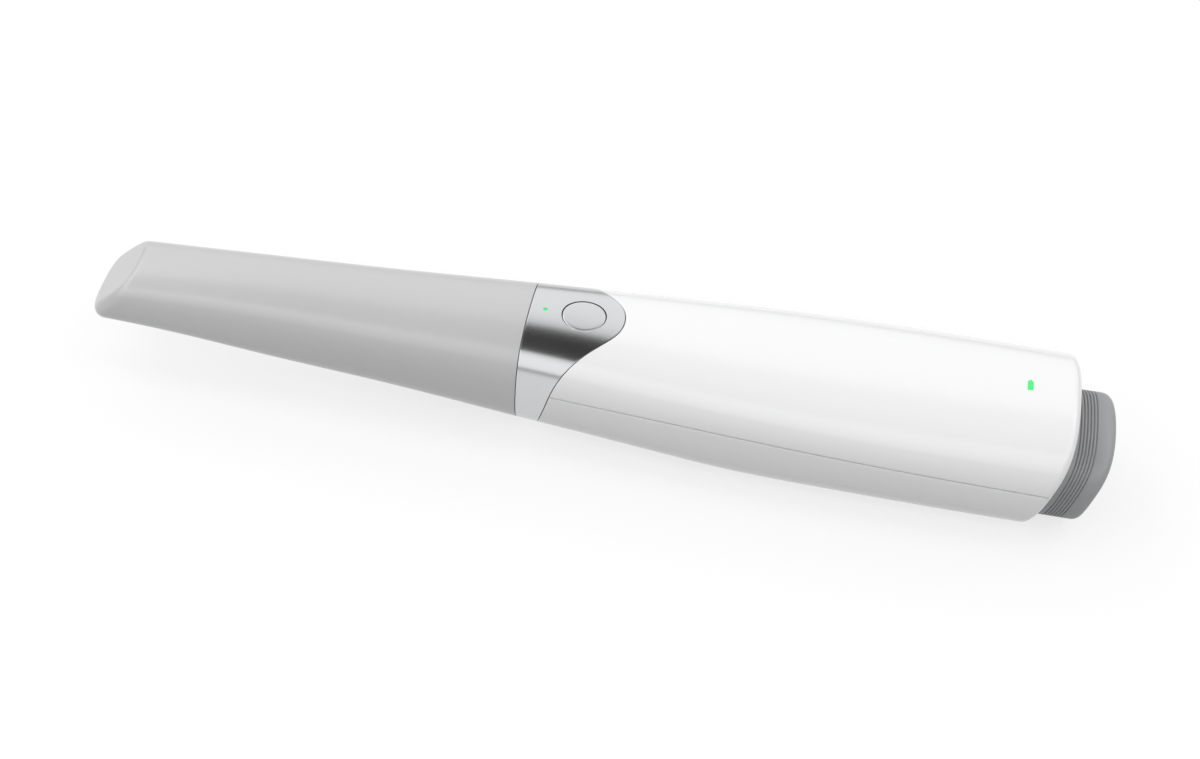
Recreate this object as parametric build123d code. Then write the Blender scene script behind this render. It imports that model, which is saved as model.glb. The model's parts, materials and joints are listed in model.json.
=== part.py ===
from build123d import *
import os
from math import cos, radians, sin

# Wireless hand-held intraoral scanner, in millimetres. It's drawn from the nose (x = 0) along
# the straight ridge of the handle (z = 0), with the tail towards +X and depths below the ridge
# as negative z. At the end it's set down on its flat land, with the origin under its middle.

# Whole body
body_length = 281.4
body_width = 50.9
body_height = 36.4
tip_length = 121.3
overrun = 4.0
fit_gap = 0.05

# Outer form: place along the tip or handle, then half width as a share of half the body width,
# and the depths of ridge, parting line and keel as shares of the body height
tip_form_shares = [
    (-0.07, 0.488, 0.157, 0.357, 0.545),
    (0.165, 0.515, 0.108, 0.389, 0.595),
    (0.41, 0.554, 0.069, 0.397, 0.695),
    (0.70, 0.624, 0.042, 0.376, 0.783),
    (1.00, 0.722, 0.0, 0.390, 0.879),
    (1.08, 0.755, 0.0, 0.388, 0.905),
]
handle_form_shares = [
    (0.0, 0.722, 0.0, 0.390, 0.879),
    (0.18, 0.823, 0.0, 0.383, 0.942),
    (0.366, 0.918, 0.0, 0.382, 1.008),
    (0.554, 0.980, 0.0, 0.395, 1.010),
    (0.741, 1.000, 0.0, 0.416, 1.012),
    (0.928, 0.988, 0.0, 0.444, 1.015),
    (1.053, 0.977, 0.0, 0.462, 1.017),
]
# How square the four quarters of a section are: handle lengths at ridge, upper side, lower side
# and keel, as shares of the quarter's width or height
nose_corner_shares = (0.782, 0.753, 0.65, 0.70)
handle_corner_shares = (0.746, 0.708, 0.688, 0.731)

# Removable tip
tip_wall = 1.3
nose_top = 16.65
nose_slope = 43.7
nose_round = 3.0
nose_wall = 1.2
mirror_thickness = 1.0
mirror_margin = 0.3
window_start = 5.0
window_length = 19.0
window_width = 16.0
window_round = 3.0

# Snout that carries the optics into the tip
snout_length = 60.0
snout_clearance = 0.7
snout_wall = 1.2
snout_spigot = 3.5
snout_flange = 2.0
snout_flange_reach = 3.3
glass_thickness = 1.2
glass_ledge = 1.0
seal_place = 9.0
seal_width = 2.0
seal_depth = 0.8
seal_gap = 0.15

# Collar and its tongue round the button
collar_wall = 2.0
collar_side = 9.3
collar_slope = 14.3
collar_lip = 3.0
lip_thickness = 1.0
seam_gap = 0.25
tongue_slope = 40.0
tongue_side_width_share = 0.755
tongue_side_depth_share = 0.390
tongue_tip_share = 0.296
tongue_side_share = 0.69
tongue_flare_share = 0.37
button_place = 15.1
button_radius = 5.95
button_gap = 0.22
tongue_margin = 11.1

# Button and its switch
button_flange = 0.95
button_flange_thickness = 0.8
button_flange_drop = 2.25
button_pocket_gap = 0.4
button_travel = 0.5
plunger_radius = 1.2
plunger_gap = 0.15
plunger_entry = 0.2
switch_board_depth = 5.6
board_thickness = 1.0
switch_board_length = 21.0
switch_board_width = 13.0
switch_size = 5.2
switch_height = 1.5
status_place = 4.4
status_radius = 0.55
led_length = 1.4
led_width = 1.0
led_height = 0.6
light_gap = 0.1

# White housing
housing_wall = 2.0
parting_drop = 0.1
tail_setback = 15.4
tail_depth = 16.2
tail_slope = 17.2
tail_round = 2.4
end_wall = 2.4

# Battery light on the ridge near the tail
light_setback = 23.75
light_length = 1.5
light_width = 3.6
light_nub_width = 0.6
light_nub = 0.45
light_flange = 0.8
light_flange_thickness = 0.8

# Grip of the battery pack and the opening that it slides through
grip_half_width = 18.8
grip_half_height = 12.9
grip_depth = 22.0
grip_corner_share = 0.78
grip_slope = 15.6
grip_end_round = 2.0
opening_gap = 0.25
groove_count = 6
groove_pitch = 0.88
groove_width = 0.42
groove_depth = 0.35
groove_setback = 4.4
battery_seal_width = 1.0
battery_seal_depth = 0.8
battery_seal_gap = 0.1

# Battery pack and bay
cell_radius = 8.0
cell_setback = 23.2
cell_gap = 0.2
cell_depth = 21.5
case_wall = 1.0
case_clearance = 0.3
bay_wall = 1.3
bay_gap = 0.25
case_offset = 66.2
case_front_wall = 1.5
case_socket = 3.0
battery_board_gap = 3.0
bay_flange = 1.6
bay_flange_reach = 2.2
terminal_block_length = 5.0
terminal_gap = 1.0
blade_count = 4
blade_pitch = 5.0
blade_thickness = 0.6
blade_height = 3.0
blade_reach = 4.0
blade_slot_gap = 0.25
clip_wall = 0.7
clip_gap = 0.2

# Optics in the snout
optic_depth = 14.5
projector_radius = 4.2
projector_length = 40.0
projector_bore = 3.2
camera_radius = 2.9
camera_length = 22.0
camera_bore = 2.2
camera_side = 7.4
lens_thickness = 1.6
lens_setback = 0.6
optics_setback = 2.0
carrier_setback = 3.0
carrier_length = 17.0
carrier_rib = 3.0
sensor_width = 6.2
sensor_height = 9.0
block_length = 16.0
block_width = 16.0
block_height = 16.0
light_board_width = 17.0
light_board_height = 16.0

# Heat sink and engine frame
sink_base = 3.0
sink_length = 28.0
sink_width = 16.4
fin_count = 7
fin_thickness = 1.0
frame_floor = 2.0
frame_floor_depth = 23.0
frame_wall = 1.2
frame_width = 25.6
frame_plate = 1.8
frame_top_depth = 7.8
frame_wall_start = 5.0
frame_end_gap = 2.0
board_post = 2.0

# Main board and what is on it
main_board_offset = 28.7
main_board_margin = 2.35
main_board_width = 20.0
main_board_depth = 7.0
main_board_thickness = 1.2
shield_span_shares = (0.218, 0.455)
shield_width = 16.0
shield_height = 2.4
shield_wall = 0.3
radio_span_shares = (0.527, 0.709)
radio_width = 13.0
radio_height = 2.0

# Flat cables
ribbon_thickness = 0.3
camera_ribbon_width = 2.4
camera_ribbon_side = 9.9
camera_ribbon_depth = 15.0
light_ribbon_width = 3.8
light_ribbon_side = -2.4
switch_ribbon_width = 5.0
switch_ribbon_side = 3.2
ribbon_round = 2.0
ribbon_land = 6.0

# Screws and bosses: thread radius, head radius and head height of each kind
small_thread = 0.9
small_head = 1.6
small_head_height = 1.1
small_length = 5.0
housing_thread = 1.1
housing_head = 2.1
housing_head_height = 1.8
housing_screw_offset = 48.7
housing_screw_side = 14.3
housing_boss = 2.6
housing_boss_meet = 15.0
housing_seat_depth = 26.0
housing_screw_length = 17.0
thread_bite = 5.0
board_boss = 2.2
board_screw_side = 7.6
board_screw_inset = 9.0
frame_screw_side = 9.95
frame_screw_places_shares = (0.3, 0.9)
snout_screw_spots_shares = ((0.54, 0.33), (0.405, 0.662))
rib_thickness = 2.0
rib_place_shares = (0.12, 0.78)

half_width = body_width / 2
handle_length = body_length - tip_length
tail_place = body_length - tail_setback
light_place = body_length - light_setback
housing_screw_place = tip_length + housing_screw_offset
main_board_start = tip_length + main_board_offset
main_board_length = light_place + main_board_margin - main_board_start
case_front = tip_length + case_offset
battery_board_start = case_front + case_front_wall + battery_board_gap
cell_start = battery_board_start + board_thickness + cell_gap
cell_length = body_length - cell_setback - cell_start
parts = {}


def block(x0, x1, y0, y1, z0, z1):
    """Box between two corners."""
    return Pos((x0 + x1) / 2, (y0 + y1) / 2, (z0 + z1) / 2) * Box(x1 - x0, y1 - y0, z1 - z0)


def rod(x, y, z0, z1, radius):
    """Upright cylinder from z0 to z1."""
    return Pos(x, y, (z0 + z1) / 2) * Cylinder(radius, abs(z1 - z0))


def barrel(x0, x1, y, z, radius):
    """Cylinder along X."""
    return Pos((x0 + x1) / 2, y, z) * Rot(0, 90, 0) * Cylinder(radius, x1 - x0)


def raked(x, z, slope):
    """Plane across the body that faces the tail and leans back by slope degrees at its top."""
    lean = radians(slope)
    return Plane(origin=(x, 0, z), x_dir=(0, 1, 0), z_dir=(cos(lean), 0, -sin(lean)))


def behind(shape, plane):
    """What lies on the tail side of a plane."""
    return split(shape, bisect_by=plane, keep=Keep.TOP)


def ahead(shape, plane):
    """What lies on the nose side of a plane."""
    return split(shape, bisect_by=plane, keep=Keep.BOTTOM)


def between(shape, x0, x1):
    """The slice of a shape from x0 to x1."""
    return ahead(behind(shape, raked(x0, 0, 0)), raked(x1, 0, 0))


def quarter(x, wide, middle, apex, side, shares):
    """Quarter of a section, from the ridge or keel out to the widest line."""
    return Edge.make_bezier(
        (x, 0, apex),
        (x, side * wide * shares[0], apex),
        (x, side * wide, middle + (apex - middle) * shares[1]),
        (x, side * wide, middle),
    )


def section(x, wide, ridge, middle, keel, corners):
    """Closed section of four quarters that meet at the ridge, the keel and the widest lines."""
    upper, lower = corners[:2], corners[:1:-1]
    edges = [quarter(x, wide, middle, ridge, side, upper) for side in (-1, 1)]
    edges += [quarter(x, wide, middle, keel, side, lower) for side in (-1, 1)]
    return Wire(edges)


def tip_form(inset=0):
    """Outer form of the tip, or the same form set in by a wall."""
    rings = []
    for place, wide, ridge, middle, keel in tip_form_shares:
        mix = min(max(place, 0), 1)
        corners = [a + (b - a) * mix for a, b in zip(nose_corner_shares, handle_corner_shares)]
        rings.append(
            section(
                place * tip_length,
                wide * half_width - inset,
                -ridge * body_height - inset,
                -middle * body_height,
                -keel * body_height + inset,
                corners,
            )
        )
    return Solid.make_loft(rings)


def handle_form(inset=0):
    """Outer form of collar and housing, or the same form set in by a wall."""
    rings = [
        section(
            tip_length + place * handle_length,
            wide * half_width - inset,
            -ridge * body_height - inset,
            -middle * body_height,
            -keel * body_height + inset,
            handle_corner_shares,
        )
        for place, wide, ridge, middle, keel in handle_form_shares
    ]
    return Solid.make_loft(rings)


def grip_form(margin, front, back):
    """Section of the battery grip grown by a margin, between two planes."""
    wide, tall = grip_half_width + margin, grip_half_height + margin
    shares = (grip_corner_share, grip_corner_share)
    start = case_front
    edges = [
        quarter(start, wide, -grip_depth, -grip_depth + up * tall, s, shares)
        for up in (-1, 1)
        for s in (-1, 1)
    ]
    whole = extrude(Face(Wire(edges)), amount=body_length + overrun - start, dir=(1, 0, 0))
    return ahead(behind(whole, front), back)


def obround(x0, x1, radius):
    """Rounded bar round both cells."""
    spread = cell_radius + cell_gap / 2
    return (
        barrel(x0, x1, -spread, -cell_depth, radius)
        + barrel(x0, x1, spread, -cell_depth, radius)
        + block(x0, x1, -spread, spread, -cell_depth - radius, -cell_depth + radius)
    )


def tongue_zone(shift):
    """Everything ahead of the collar's upper seam, which runs from the tongue down each side."""
    lean = radians(tongue_slope)
    tip_x = tip_length + button_place + tongue_margin + shift
    side_x = tip_length + collar_side + shift
    reach = (
        sin(lean) * tongue_side_width_share * half_width
        + cos(lean) * tongue_side_depth_share * body_height
    )
    front = tip_length - overrun
    hold = tongue_side_share * reach
    end = reach + tongue_side_share * reach
    zone = None
    for side in (-1, 1):
        plane = Plane(
            origin=(0, 0, 0), x_dir=(1, 0, 0), z_dir=(0, -side * cos(lean), -sin(lean))
        )
        seam = Bezier(
            (tip_x, 0),
            (tip_x, -side * tongue_tip_share * reach),
            (side_x + tongue_flare_share * hold, -side * (reach - hold)),
            (side_x, -side * reach),
        )
        outer = Polyline(
            (side_x, -side * reach),
            (side_x - tongue_flare_share * (end - reach), -side * end),
            (front, -side * end),
            (front, side * overrun),
            (tip_x, side * overrun),
            (tip_x, 0),
        )
        profile = plane * make_face([seam, outer])
        prism = extrude(profile, amount=body_width, both=True)
        half = block(front, tip_x + overrun, 0, body_width, -body_width, body_width)
        if side < 0:
            half = mirror(half, about=Plane.XZ)
        prism = prism & half
        zone = prism if zone is None else zone + prism
    return zone


def collar_plane(shift):
    """Raked plane of the collar's seam below the parting line."""
    middle = -tongue_side_depth_share * body_height
    return raked(tip_length + collar_side + shift, middle, collar_slope)


def nose_plane(depth):
    """Slanted plane of the nose, set in by a depth."""
    slope = radians(nose_slope)
    return Plane(
        origin=(nose_top + depth / sin(slope), 0, 0),
        x_dir=(0, 1, 0),
        z_dir=(sin(slope), 0, -cos(slope)),
    )


def tail_plane(depth):
    """Raked plane of the cut tail, set in along X by a depth."""
    return raked(tail_place - depth, -tail_depth, tail_slope)


def grip_plane(setback):
    """Raked plane of the grip's end face, set in along X."""
    top = -grip_depth + grip_half_height - grip_end_round
    return raked(body_length - setback, top, grip_slope)


def tip_pieces():
    """Tip sleeve with its slanted nose and scanning window, and the mirror in it."""
    outer = ahead(behind(tip_form(), nose_plane(0)), raked(tip_length, 0, 0))
    facet = outer.faces().sort_by(Axis.X)[0]
    outer = fillet(facet.edges(), nose_round)
    hollow = behind(tip_form(tip_wall), nose_plane(nose_wall))
    window = extrude(
        Pos(window_start + window_length / 2, 0, -body_height)
        * RectangleRounded(window_length, window_width, window_round),
        amount=body_height - optic_depth,
    )
    parts["tip_sleeve"] = outer - hollow - window
    plate = tip_form(tip_wall + mirror_margin)
    plate = behind(plate, nose_plane(nose_wall))
    parts["tip_mirror"] = ahead(plate, nose_plane(nose_wall + mirror_thickness))


def snout_pieces():
    """Snout tube with its window glass and seal ring."""
    start = tip_length - snout_length
    end = tip_length + snout_spigot
    outset = tip_wall + snout_clearance
    outer = between(tip_form(outset), start, end)
    bore = tip_form(outset + snout_wall)
    small = tip_form(outset + snout_wall + glass_ledge)
    flange = tip_form(outset + snout_wall + snout_flange_reach)
    snout = outer - between(small, start - overrun, start + glass_thickness + glass_ledge)
    snout -= between(bore, start - overrun, start + glass_thickness)
    snout -= between(bore, start + glass_thickness + glass_ledge, end - snout_flange)
    snout -= between(flange, end - snout_flange - overrun, end + overrun)
    ring_start = tip_length - seal_place
    outside = between(tip_form(tip_wall + seal_gap), ring_start, ring_start + seal_width)
    groove = outside - tip_form(outset + seal_depth)
    for y, z in snout_screw_spots():
        snout -= barrel(end - snout_flange - overrun, end + overrun, y, z, small_thread + fit_gap)
    parts["optical_snout"] = snout - groove
    parts["snout_seal"] = groove
    glass = tip_form(outset + snout_wall + fit_gap)
    parts["snout_window"] = between(glass, start, start + glass_thickness)


def snout_screw_spots():
    """Places across the body of the four screws that join frame and snout."""
    return [
        (side * wide * half_width, -depth * body_height)
        for wide, depth in snout_screw_spots_shares
        for side in (-1, 1)
    ]


def optics_pieces():
    """Projector, two cameras and the carrier that holds them in the snout."""
    start = tip_length - snout_length + optics_setback
    carrier_start = start + carrier_setback
    carrier_end = carrier_start + carrier_length
    inside = tip_wall + snout_clearance + snout_wall
    carrier = between(tip_form(inside + fit_gap), carrier_start, carrier_end)
    waist = between(
        tip_form(inside + carrier_rib), carrier_start + carrier_rib, carrier_end - carrier_rib
    )
    shell = between(tip_form(), carrier_start + carrier_rib, carrier_end - carrier_rib)
    carrier -= shell - waist
    carrier -= barrel(start, carrier_end + overrun, 0, -optic_depth, projector_radius + fit_gap)
    lens_front = start + lens_setback
    tube = barrel(start, start + projector_length, 0, -optic_depth, projector_radius)
    tube -= barrel(
        start - overrun, start + projector_length + overrun, 0, -optic_depth, projector_bore
    )
    parts["projector_barrel"] = tube
    parts["projector_lens"] = barrel(
        lens_front, lens_front + lens_thickness, 0, -optic_depth, projector_bore - fit_gap
    )
    for name, side in (("left", 1), ("right", -1)):
        y = side * camera_side
        end = start + camera_length
        carrier -= barrel(start, carrier_end + overrun, y, -optic_depth, camera_radius + fit_gap)
        tube = barrel(start, end, y, -optic_depth, camera_radius)
        tube -= barrel(start - overrun, end + overrun, y, -optic_depth, camera_bore)
        parts["camera_barrel_" + name] = tube
        parts["camera_lens_" + name] = barrel(
            lens_front, lens_front + lens_thickness, y, -optic_depth, camera_bore - fit_gap
        )
        near = side * (projector_radius + fit_gap)
        far = near + side * sensor_width
        parts["camera_board_" + name] = block(
            end,
            end + board_thickness,
            min(near, far),
            max(near, far),
            -optic_depth - sensor_height / 2,
            -optic_depth + sensor_height / 2,
        )
    parts["optics_carrier"] = carrier
    block_start = start + projector_length
    parts["projector_block"] = block(
        block_start,
        block_start + block_length,
        -block_width / 2,
        block_width / 2,
        -optic_depth - block_height / 2,
        -optic_depth + block_height / 2,
    )
    board_start = block_start + block_length
    parts["light_source_board"] = block(
        board_start,
        board_start + board_thickness,
        -light_board_width / 2,
        light_board_width / 2,
        -optic_depth - light_board_height / 2,
        -optic_depth + light_board_height / 2,
    )
    return board_start + board_thickness


def cooling_pieces(sink_start):
    """Finned heat sink behind the light source, and the frame that holds it."""
    sink_end = sink_start + sink_length
    low, high = -frame_floor_depth, -frame_top_depth - fit_gap
    sink = block(sink_start, sink_end, -sink_width / 2, sink_width / 2, low, high)
    pitch = (sink_width - fin_thickness) / (fin_count - 1)
    for gap in range(fin_count - 1):
        y = -sink_width / 2 + fin_thickness + gap * pitch
        sink -= block(
            sink_start + sink_base,
            sink_end + overrun,
            y,
            y + pitch - fin_thickness,
            low + fin_thickness,
            high + overrun,
        )
    parts["heat_sink"] = sink
    plate_start = tip_length + snout_spigot
    frame_end = sink_end + frame_end_gap
    floor_top = -frame_floor_depth
    wide = frame_width / 2
    inside = handle_form(housing_wall + lip_thickness + 3 * fit_gap)
    plate = between(inside, plate_start, plate_start + frame_plate)
    plate -= block(
        plate_start - overrun,
        plate_start + frame_plate + overrun,
        -wide + frame_wall,
        wide - frame_wall,
        floor_top,
        overrun,
    )
    plate -= block(plate_start - overrun, frame_end, -half_width, half_width, high, overrun)
    floor = block(plate_start, frame_end, -wide, wide, floor_top - frame_floor, floor_top)
    frame = plate + (floor & inside)
    for side in (-1, 1):
        inner, outer = side * (wide - frame_wall), side * wide
        frame += block(
            plate_start + frame_wall_start,
            frame_end,
            min(inner, outer),
            max(inner, outer),
            floor_top - frame_floor,
            high,
        )
        board_low = -switch_board_depth - board_thickness - fit_gap
        edge = side * (switch_board_width / 2 - board_post)
        for x in post_places():
            low, reach = high - board_post, sorted((edge, outer))
            frame += block(x, x + board_post, *sorted((inner, outer)), low, board_low)
            frame += block(x, x + board_post, *reach, high + fit_gap, board_low)
    plate_end = plate_start + frame_plate
    head_end = plate_end + small_head_height + fit_gap
    for y, z in snout_screw_spots():
        frame -= barrel(plate_start - overrun, head_end, y, z, small_thread + fit_gap)
        frame -= barrel(plate_end, head_end, y, z, small_head + fit_gap)
    floor_low = floor_top - frame_floor - overrun
    for x, y in frame_screw_spots(plate_start, frame_end):
        frame -= rod(x, y, floor_low, floor_top + overrun, small_thread + fit_gap)
    parts["engine_frame"] = frame
    return plate_start, frame_end


def post_places():
    """Places along the body of the arms that carry the switch board."""
    start = tip_length + snout_spigot + frame_wall_start
    return [start + overrun, start + switch_board_length / 2]


def frame_screw_spots(start, end):
    """Places of the four screws that hold the frame to the lower shell."""
    return [
        (start + share * (end - start), side * frame_screw_side)
        for share in frame_screw_places_shares
        for side in (-1, 1)
    ]


def screw(thread, head, head_height, length):
    """Screw along Z with its head on top, seated at z = 0."""
    body = rod(0, 0, -length, 0, thread) + rod(0, 0, 0, head_height, head)
    return body - rod(0, 0, head_height / 2, head_height + overrun, thread)


def button_pieces():
    """Button with its flange, the plunger under it, its switch and board, and the status light."""
    x = tip_length + button_place
    cap = handle_form() & rod(x, 0, -button_flange_drop - fit_gap, overrun, button_radius)
    flange_low = -button_flange_drop - button_flange_thickness
    cap += rod(x, 0, flange_low, -button_flange_drop, button_radius + button_flange)
    parts["button_cap"] = cap
    board_top = -switch_board_depth
    switch_top = board_top + switch_height
    parts["switch_plunger"] = rod(x, 0, switch_top - plunger_entry, flange_low, plunger_radius)
    half = switch_size / 2
    switch = block(x - half, x + half, -half, half, board_top, switch_top)
    well_low = switch_top - button_travel - 2 * plunger_entry
    well = rod(x, 0, well_low, switch_top + overrun, plunger_radius + plunger_gap)
    parts["button_switch"] = switch - well
    status_x = tip_length + status_place
    board_start = status_x - led_length / 2 - light_gap
    parts["switch_board"] = block(
        board_start,
        board_start + switch_board_length,
        -switch_board_width / 2,
        switch_board_width / 2,
        board_top - board_thickness,
        board_top,
    )
    led_top = board_top + led_height
    parts["status_led"] = lamp(status_x, board_top)
    pipe = rod(status_x, 0, led_top + light_gap, overrun, status_radius)
    parts["status_light"] = pipe & handle_form()
    return x, status_x, board_start + switch_board_length


def lamp(x, low):
    """Surface-mounted lamp on a board."""
    half, wide = led_length / 2, led_width / 2
    return block(x - half, x + half, -wide, wide, low, low + led_height)


def collar_form(inset, shift):
    """Form of the collar and its tongue, set in by a wall and grown past the seam by a shift."""
    form = handle_form(inset)
    parting = Plane(origin=(0, 0, -tongue_side_depth_share * body_height), z_dir=(0, 0, 1))
    upper = split(form & tongue_zone(shift), bisect_by=parting, keep=Keep.TOP)
    lower = split(ahead(form, collar_plane(shift)), bisect_by=parting, keep=Keep.BOTTOM)
    return upper + lower


def collar_piece(button_x, status_x):
    """Collar with the tongue round the button and a lip that carries the housing shells."""
    lip_start = raked(tip_length + snout_spigot + fit_gap, 0, 0)
    seat = housing_wall + fit_gap
    collar = collar_form(0, 0) + behind(collar_form(seat, collar_lip), lip_start)
    collar -= ahead(tip_form(tip_wall + snout_clearance - fit_gap), lip_start)
    collar -= behind(handle_form(seat + lip_thickness), lip_start)
    pocket = button_radius + button_flange + button_pocket_gap
    collar -= rod(button_x, 0, -switch_board_depth, -collar_wall, pocket)
    collar -= rod(button_x, 0, -switch_board_depth, overrun, button_radius + button_gap)
    collar -= rod(status_x, 0, -switch_board_depth, overrun, status_radius + fit_gap)
    parts["collar"] = behind(collar, raked(tip_length + seam_gap, 0, 0))


def housing_screw_spots():
    """Places of the two screws that join the housing shells."""
    return [(housing_screw_place, side * housing_screw_side) for side in (-1, 1)]


def board_screw_spots():
    """Places of the four screws that hold the main board under the upper shell."""
    first = main_board_start + board_screw_inset
    last = main_board_start + main_board_length - board_screw_inset
    return [(x, side * board_screw_side) for x in (first, last) for side in (-1, 1)]


def light_face(margin):
    """Outline of the battery light: a cell with its nub."""
    body = Rectangle(light_length + 2 * margin, light_width + 2 * margin)
    nub = Rectangle(light_nub_width + 2 * margin, 2 * light_nub + 2 * margin)
    return Pos(light_place, 0, 0) * (body + Pos(0, light_width / 2, 0) * nub)


def parting_zone():
    """Everything below the housing's parting line."""
    line = [
        (tip_length + place * handle_length, -middle * body_height - parting_drop)
        for place, wide, ridge, middle, keel in handle_form_shares
    ]
    low = -body_height - overrun
    sides = Polyline(line[-1], (line[-1][0], low), (line[0][0], low), line[0])
    profile = Plane.XZ * make_face([Spline(*line), sides])
    return extrude(profile, amount=body_width, both=True)


def housing_form():
    """Hollow housing in one, closed at the tail but for the opening for the grip."""
    outer = ahead(handle_form(), tail_plane(0))
    rim = outer.faces().sort_by(Axis.X)[-1].edges()
    shell = fillet(rim, tail_round) - ahead(handle_form(housing_wall), tail_plane(end_wall))
    return shell - grip_form(opening_gap, tail_plane(end_wall + overrun), tail_plane(-overrun))


def upper_shell_piece(housing, below):
    """Upper half of the housing with its bosses and the window of the battery light."""
    shell = housing - below - tongue_zone(seam_gap)
    inside = handle_form(housing_wall / 2)
    for x, y in housing_screw_spots():
        boss = rod(x, y, -housing_boss_meet, 0, housing_boss) & inside
        shell += boss
        shell -= rod(x, y, -housing_boss_meet - overrun, -main_board_depth, housing_thread)
    for x, y in board_screw_spots():
        shell += rod(x, y, -main_board_depth, 0, board_boss) & inside
        bore_top = -main_board_depth + small_length - board_thickness
        shell -= rod(x, y, -main_board_depth - overrun, bore_top, small_thread)
    window = extrude(light_face(fit_gap), amount=-main_board_depth) + extrude(
        light_face(fit_gap), amount=overrun
    )
    parts["upper_shell"] = shell - window


def lower_shell_piece(housing, below, plate_start, frame_end):
    """Lower half of the housing with its flat land, cradle ribs and screw bosses."""
    shell = behind(housing & below, collar_plane(seam_gap))
    inside = handle_form(housing_wall / 2)
    bay = obround(bay_start(), body_length, bay_radius() + fit_gap)
    for share in rib_place_shares:
        x = bay_start() + share * cell_length
        rib = block(x, x + rib_thickness, -half_width, half_width, -body_height, -cell_depth)
        shell += (rib & inside) - bay
    for x, y in housing_screw_spots():
        shell += rod(x, y, -body_height, -housing_boss_meet - fit_gap, housing_boss) & inside
    floor = -frame_floor_depth - frame_floor
    for x, y in frame_screw_spots(plate_start, frame_end):
        shell += rod(x, y, -body_height, floor, board_boss) & inside
        shell -= rod(x, y, floor - thread_bite, floor + overrun, small_thread)
    for x, y in housing_screw_spots():
        shell -= rod(x, y, -body_height, -housing_boss_meet + overrun, housing_thread + fit_gap)
        shell -= rod(x, y, -body_height - overrun, -housing_seat_depth, housing_head + light_gap)
    low = -body_height - overrun
    land = block(tip_length, body_length, -half_width, half_width, low, -body_height)
    parts["lower_shell"] = shell - land


def light_pieces():
    """Battery light in the upper shell and the lamp on the board under it."""
    lamp_top = -main_board_depth + led_height
    face = light_face(0)
    lens = extrude(face, amount=lamp_top + light_gap) + extrude(face, amount=overrun)
    lens = lens & handle_form()
    flange_top = -housing_wall - light_gap
    flange = extrude(light_face(light_flange), amount=-light_flange_thickness)
    parts["battery_light"] = lens + Pos(0, 0, flange_top) * flange
    parts["battery_led"] = lamp(light_place, -main_board_depth)


def main_board_pieces():
    """Main board with the processor's shield and the radio module."""
    x0, x1 = main_board_start, main_board_start + main_board_length
    top, half = -main_board_depth, main_board_width / 2
    board = block(x0, x1, -half, half, top - main_board_thickness, top)
    for x, y in board_screw_spots():
        board -= rod(x, y, top - overrun, top + overrun, small_thread + fit_gap)
    parts["main_board"] = board
    start, end = [x0 + share * main_board_length for share in shield_span_shares]
    half = shield_width / 2
    can = block(start, end, -half, half, top, top + shield_height)
    wall = shield_wall
    roof = top + shield_height - wall
    can -= block(start + wall, end - wall, -half + wall, half - wall, top - overrun, roof)
    parts["processor_shield"] = can
    start, end = [x0 + share * main_board_length for share in radio_span_shares]
    half = radio_width / 2
    parts["wireless_module"] = block(start, end, -half, half, top, top + radio_height)


def ribbon(points, y, width):
    """Flat cable along a route in the XZ plane."""
    route = FilletPolyline(*points, radius=ribbon_round)
    strip = Plane.XZ * trace(route, line_width=ribbon_thickness)
    return Pos(0, y + width / 2, 0) * extrude(strip, amount=width)


def ribbon_pieces(sink_start, board_end):
    """Flat cables from the cameras, the light source and the button's board to the main board."""
    half = ribbon_thickness / 2
    camera_end = tip_length - snout_length + optics_setback + camera_length + board_thickness
    bend = main_board_start - ribbon_land
    land = main_board_start + ribbon_round
    end = main_board_start + ribbon_land
    depth, under = -camera_ribbon_depth, -main_board_depth - main_board_thickness - half
    for name, side in (("left", 1), ("right", -1)):
        route = [(camera_end, depth), (bend, depth), (land, under), (end, under)]
        y = side * camera_ribbon_side
        parts["camera_ribbon_" + name] = ribbon(route, y, camera_ribbon_width)
    over_sink = -frame_top_depth + half + fit_gap
    over_board = -main_board_depth + half
    edge = main_board_start - ribbon_round
    route = [(sink_start, over_sink), (bend, over_sink), (edge, over_board), (end, over_board)]
    parts["light_ribbon"] = ribbon(route, light_ribbon_side, light_ribbon_width)
    over_switch = -switch_board_depth + half
    leave = board_end + ribbon_round
    fixed = bend - ribbon_round
    route = [(fixed, over_switch), (leave, over_switch), (land, over_board), (end, over_board)]
    parts["switch_ribbon"] = ribbon(route, switch_ribbon_side, switch_ribbon_width)


def case_radius():
    """Outer radius of the battery case round each cell."""
    return cell_radius + case_clearance + case_wall


def bay_radius():
    """Outer radius of the bay round the case."""
    return case_radius() + bay_gap + bay_wall


def bay_start():
    """Front end of the bay, where the terminal block closes it."""
    return case_front - terminal_gap - terminal_block_length


def blade_places():
    """Places across the body of the contact blades."""
    return [(i - (blade_count - 1) / 2) * blade_pitch for i in range(blade_count)]


def bar(x0, x1, y, margin):
    """Flat bar along X of a blade's section, grown by a margin."""
    wide, tall = blade_thickness / 2 + margin, blade_height / 2 + margin
    return block(x0, x1, y - wide, y + wide, -cell_depth - tall, -cell_depth + tall)


def bay_pieces():
    """Guide tube for the battery pack, with the terminal block and its blades."""
    start = bay_start()
    bay = ahead(obround(start, body_length, bay_radius()), tail_plane(end_wall))
    flange = grip_form(bay_flange_reach, tail_plane(end_wall + bay_flange), tail_plane(end_wall))
    bay += flange & handle_form(housing_wall + fit_gap)
    parts["battery_bay"] = bay - obround(start - overrun, body_length, case_radius() + bay_gap)
    end = start + terminal_block_length
    parts["terminal_block"] = obround(start, end, case_radius() + bay_gap - fit_gap)
    blades = [bar(end, end + blade_reach, y, 0) for y in blade_places()]
    parts["contact_blades"] = Compound(children=blades)


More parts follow.
